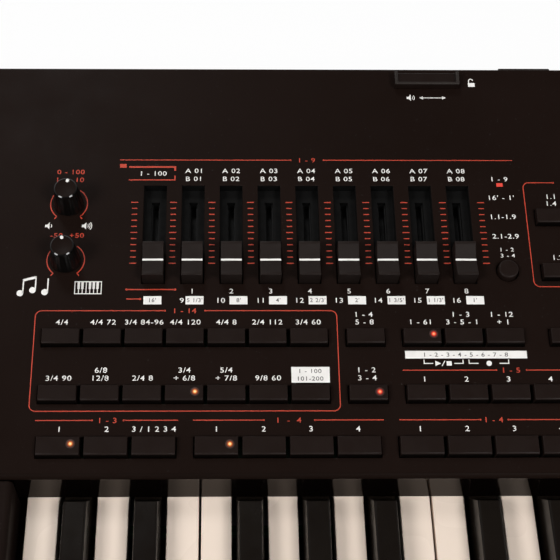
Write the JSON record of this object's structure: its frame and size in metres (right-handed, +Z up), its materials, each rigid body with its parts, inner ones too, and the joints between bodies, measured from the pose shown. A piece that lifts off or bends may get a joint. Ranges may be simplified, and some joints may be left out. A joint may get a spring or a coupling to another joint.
{
  "type": "arranger keyboard",
  "caption": "Arranger keyboard with a sloping control panel of buttons, sliders and knobs, a tilting display, piano-style keys, a joystick and rear sockets.",
  "frame": {"origin": "centre of the footprint on the surface the feet stand on", "axes": "+X to the player's right along the keys, +Y from the player to the back, +Z up"},
  "size_m": [1.03, 0.356, 0.1285],
  "materials": {
    "panel_dark": "matte paint",
    "case_dark": "fine grain",
    "button": "satin",
    "slider": "satin",
    "knob": "satin",
    "key_white": "gloss",
    "key_black": "satin",
    "screen": "gloss",
    "rubber": "matte",
    "felt": "matte",
    "steel": "satin",
    "zinc": "satin",
    "circuit_board": "satin",
    "socket": "satin"
  },
  "bodies": {
    "case": {"lower_case": "case_dark", "control_panel": "panel_dark", "left_end_block": "case_dark", "right_end_block": "case_dark", "key_slip": "case_dark", "rear_panel": "panel_dark", "rubber_feet": "rubber", "case_screws": "steel", "keybed_frame": "zinc", "key_pivot_rod": "steel", "key_return_springs": "steel", "key_felt_strip": "felt", "contact_board": "circuit_board", "dome_strip": "rubber", "main_board": "circuit_board", "power_supply": "case_dark", "panel_boards": "circuit_board", "panel_pots": "zinc", "phone_jacks": "socket", "data_sockets": "socket", "power_inlet": "socket"},
    "key_c": {"key_c": "key_white"},
    "key_d": {"key_d": "key_white"},
    "key_e": {"key_e": "key_white"},
    "key_f": {"key_f": "key_white"},
    "key_g": {"key_g": "key_white"},
    "key_a": {"key_a": "key_white"},
    "key_b": {"key_b": "key_white"},
    "key_c_sharp": {"key_c_sharp": "key_black"},
    "key_d_sharp": {"key_d_sharp": "key_black"},
    "key_f_sharp": {"key_f_sharp": "key_black"},
    "key_g_sharp": {"key_g_sharp": "key_black"},
    "key_a_sharp": {"key_a_sharp": "key_black"},
    "style_buttons": {"style_buttons": "button"},
    "option_buttons": {"option_buttons": "button"},
    "pad_buttons": {"pad_buttons": "button"},
    "intro_buttons": {"intro_buttons": "button"},
    "variation_buttons": {"variation_buttons": "button"},
    "fill_buttons": {"fill_buttons": "button"},
    "mode_buttons": {"mode_buttons": "button"},
    "slider_mode_button": {"slider_mode_button": "button"},
    "sound_buttons": {"sound_buttons": "button"},
    "power_button": {"power_button": "button"},
    "slider_cap_1": {"slider_cap_1": "slider"},
    "slider_cap_2": {"slider_cap_2": "slider"},
    "slider_cap_3": {"slider_cap_3": "slider"},
    "slider_cap_4": {"slider_cap_4": "slider"},
    "slider_cap_5": {"slider_cap_5": "slider"},
    "slider_cap_6": {"slider_cap_6": "slider"},
    "slider_cap_7": {"slider_cap_7": "slider"},
    "slider_cap_8": {"slider_cap_8": "slider"},
    "slider_cap_9": {"slider_cap_9": "slider"},
    "master_volume_knob": {"master_volume_knob": "knob"},
    "balance_knob": {"balance_knob": "knob"},
    "data_dial": {"data_dial": "knob"},
    "speaker_lock": {"speaker_lock": "knob"},
    "display": {"display_housing": "case_dark", "display_screen": "screen"},
    "joystick_ring": {"joystick_ring": "zinc"},
    "joystick_stick": {"joystick_stick": "knob"}
  },
  "joints": [
    {"name": "key_c_press", "type": "hinge", "parent": "case", "child": "key_c", "pos_m": [0, 0.036, 0.075], "axis": [1, 0, 0], "range_deg": [0, 2.8], "stiffness_Nm_per_rad": 2, "springref_deg": -25.78},
    {"name": "key_d_press", "type": "hinge", "parent": "case", "child": "key_d", "pos_m": [0, 0.036, 0.075], "axis": [1, 0, 0], "range_deg": [0, 2.8], "stiffness_Nm_per_rad": 2, "springref_deg": -25.78},
    {"name": "key_e_press", "type": "hinge", "parent": "case", "child": "key_e", "pos_m": [0, 0.036, 0.075], "axis": [1, 0, 0], "range_deg": [0, 2.8], "stiffness_Nm_per_rad": 2, "springref_deg": -25.78},
    {"name": "key_f_press", "type": "hinge", "parent": "case", "child": "key_f", "pos_m": [0, 0.036, 0.075], "axis": [1, 0, 0], "range_deg": [0, 2.8], "stiffness_Nm_per_rad": 2, "springref_deg": -25.78},
    {"name": "key_g_press", "type": "hinge", "parent": "case", "child": "key_g", "pos_m": [0, 0.036, 0.075], "axis": [1, 0, 0], "range_deg": [0, 2.8], "stiffness_Nm_per_rad": 2, "springref_deg": -25.78},
    {"name": "key_a_press", "type": "hinge", "parent": "case", "child": "key_a", "pos_m": [0, 0.036, 0.075], "axis": [1, 0, 0], "range_deg": [0, 2.8], "stiffness_Nm_per_rad": 2, "springref_deg": -25.78},
    {"name": "key_b_press", "type": "hinge", "parent": "case", "child": "key_b", "pos_m": [0, 0.036, 0.075], "axis": [1, 0, 0], "range_deg": [0, 2.8], "stiffness_Nm_per_rad": 2, "springref_deg": -25.78},
    {"name": "key_c_sharp_press", "type": "hinge", "parent": "case", "child": "key_c_sharp", "pos_m": [0, 0.036, 0.075], "axis": [1, 0, 0], "range_deg": [0, 2.8], "stiffness_Nm_per_rad": 2, "springref_deg": -25.78},
    {"name": "key_d_sharp_press", "type": "hinge", "parent": "case", "child": "key_d_sharp", "pos_m": [0, 0.036, 0.075], "axis": [1, 0, 0], "range_deg": [0, 2.8], "stiffness_Nm_per_rad": 2, "springref_deg": -25.78},
    {"name": "key_f_sharp_press", "type": "hinge", "parent": "case", "child": "key_f_sharp", "pos_m": [0, 0.036, 0.075], "axis": [1, 0, 0], "range_deg": [0, 2.8], "stiffness_Nm_per_rad": 2, "springref_deg": -25.78},
    {"name": "key_g_sharp_press", "type": "hinge", "parent": "case", "child": "key_g_sharp", "pos_m": [0, 0.036, 0.075], "axis": [1, 0, 0], "range_deg": [0, 2.8], "stiffness_Nm_per_rad": 2, "springref_deg": -25.78},
    {"name": "key_a_sharp_press", "type": "hinge", "parent": "case", "child": "key_a_sharp", "pos_m": [0, 0.036, 0.075], "axis": [1, 0, 0], "range_deg": [0, 2.8], "stiffness_Nm_per_rad": 2, "springref_deg": -25.78},
    {"name": "style_buttons_press", "type": "slide", "parent": "case", "child": "style_buttons", "axis": [0, 0.1115, -0.9938], "range_m": [0, 0.0008], "stiffness_N_per_m": 500, "springref_m": -0.002},
    {"name": "option_buttons_press", "type": "slide", "parent": "case", "child": "option_buttons", "axis": [0, 0.1115, -0.9938], "range_m": [0, 0.0008], "stiffness_N_per_m": 500, "springref_m": -0.002},
    {"name": "pad_buttons_press", "type": "slide", "parent": "case", "child": "pad_buttons", "axis": [0, 0.1115, -0.9938], "range_m": [0, 0.0008], "stiffness_N_per_m": 500, "springref_m": -0.002},
    {"name": "intro_buttons_press", "type": "slide", "parent": "case", "child": "intro_buttons", "axis": [0, 0.1115, -0.9938], "range_m": [0, 0.0008], "stiffness_N_per_m": 500, "springref_m": -0.002},
    {"name": "variation_buttons_press", "type": "slide", "parent": "case", "child": "variation_buttons", "axis": [0, 0.1115, -0.9938], "range_m": [0, 0.0008], "stiffness_N_per_m": 500, "springref_m": -0.002},
    {"name": "fill_buttons_press", "type": "slide", "parent": "case", "child": "fill_buttons", "axis": [0, 0.1115, -0.9938], "range_m": [0, 0.0008], "stiffness_N_per_m": 500, "springref_m": -0.002},
    {"name": "mode_buttons_press", "type": "slide", "parent": "case", "child": "mode_buttons", "axis": [0, 0.1115, -0.9938], "range_m": [0, 0.0008], "stiffness_N_per_m": 500, "springref_m": -0.002},
    {"name": "slider_mode_button_press", "type": "slide", "parent": "case", "child": "slider_mode_button", "axis": [0, 0.1115, -0.9938], "range_m": [0, 0.0008], "stiffness_N_per_m": 500, "springref_m": -0.002},
    {"name": "sound_buttons_press", "type": "slide", "parent": "case", "child": "sound_buttons", "axis": [0, 0.1115, -0.9938], "range_m": [0, 0.0008], "stiffness_N_per_m": 500, "springref_m": -0.002},
    {"name": "power_button_press", "type": "slide", "parent": "case", "child": "power_button", "axis": [0, 0.1115, -0.9938], "range_m": [0, 0.0008], "stiffness_N_per_m": 500, "springref_m": -0.002},
    {"name": "slider_cap_1_slide", "type": "slide", "parent": "case", "child": "slider_cap_1", "axis": [0, 0.9938, 0.1115], "range_m": [0, 0.03]},
    {"name": "slider_cap_2_slide", "type": "slide", "parent": "case", "child": "slider_cap_2", "axis": [0, 0.9938, 0.1115], "range_m": [0, 0.03]},
    {"name": "slider_cap_3_slide", "type": "slide", "parent": "case", "child": "slider_cap_3", "axis": [0, 0.9938, 0.1115], "range_m": [0, 0.03]},
    {"name": "slider_cap_4_slide", "type": "slide", "parent": "case", "child": "slider_cap_4", "axis": [0, 0.9938, 0.1115], "range_m": [0, 0.03]},
    {"name": "slider_cap_5_slide", "type": "slide", "parent": "case", "child": "slider_cap_5", "axis": [0, 0.9938, 0.1115], "range_m": [0, 0.03]},
    {"name": "slider_cap_6_slide", "type": "slide", "parent": "case", "child": "slider_cap_6", "axis": [0, 0.9938, 0.1115], "range_m": [0, 0.03]},
    {"name": "slider_cap_7_slide", "type": "slide", "parent": "case", "child": "slider_cap_7", "axis": [0, 0.9938, 0.1115], "range_m": [0, 0.03]},
    {"name": "slider_cap_8_slide", "type": "slide", "parent": "case", "child": "slider_cap_8", "axis": [0, 0.9938, 0.1115], "range_m": [0, 0.03]},
    {"name": "slider_cap_9_slide", "type": "slide", "parent": "case", "child": "slider_cap_9", "axis": [0, 0.9938, 0.1115], "range_m": [0, 0.03]},
    {"name": "master_volume_knob_turn", "type": "hinge", "parent": "case", "child": "master_volume_knob", "pos_m": [-0.3727, 0.10133, 0.10978], "axis": [0, -0.1115, 0.9938], "range_deg": [-140, 160]},
    {"name": "balance_knob_turn", "type": "hinge", "parent": "case", "child": "balance_knob", "pos_m": [-0.3727, 0.0741, 0.10672], "axis": [0, -0.1115, 0.9938], "range_deg": [-154, 146]},
    {"name": "data_dial_turn", "type": "hinge", "parent": "case", "child": "data_dial", "pos_m": [0.191, 0.12757, 0.11272], "axis": [0, -0.1115, 0.9938], "continuous": true},
    {"name": "speaker_lock_slide", "type": "slide", "parent": "case", "child": "speaker_lock", "axis": [-1, 0, 0], "range_m": [0, 0.008]},
    {"name": "display_tilt", "type": "hinge", "parent": "case", "child": "display", "pos_m": [0, 0.04763, 0.09872], "axis": [1, 0, 0], "range_deg": [0, 50]},
    {"name": "joystick_sideways", "type": "hinge", "parent": "case", "child": "joystick_ring", "pos_m": [-0.447, -0.0935, 0.076], "axis": [0, 1, 0], "range_deg": [-18, 18], "stiffness_Nm_per_rad": 0.5},
    {"name": "joystick_forward", "type": "hinge", "parent": "joystick_ring", "child": "joystick_stick", "pos_m": [-0.447, -0.0935, 0.076], "axis": [1, 0, 0], "range_deg": [-18, 18], "stiffness_Nm_per_rad": 0.5}
  ]
}
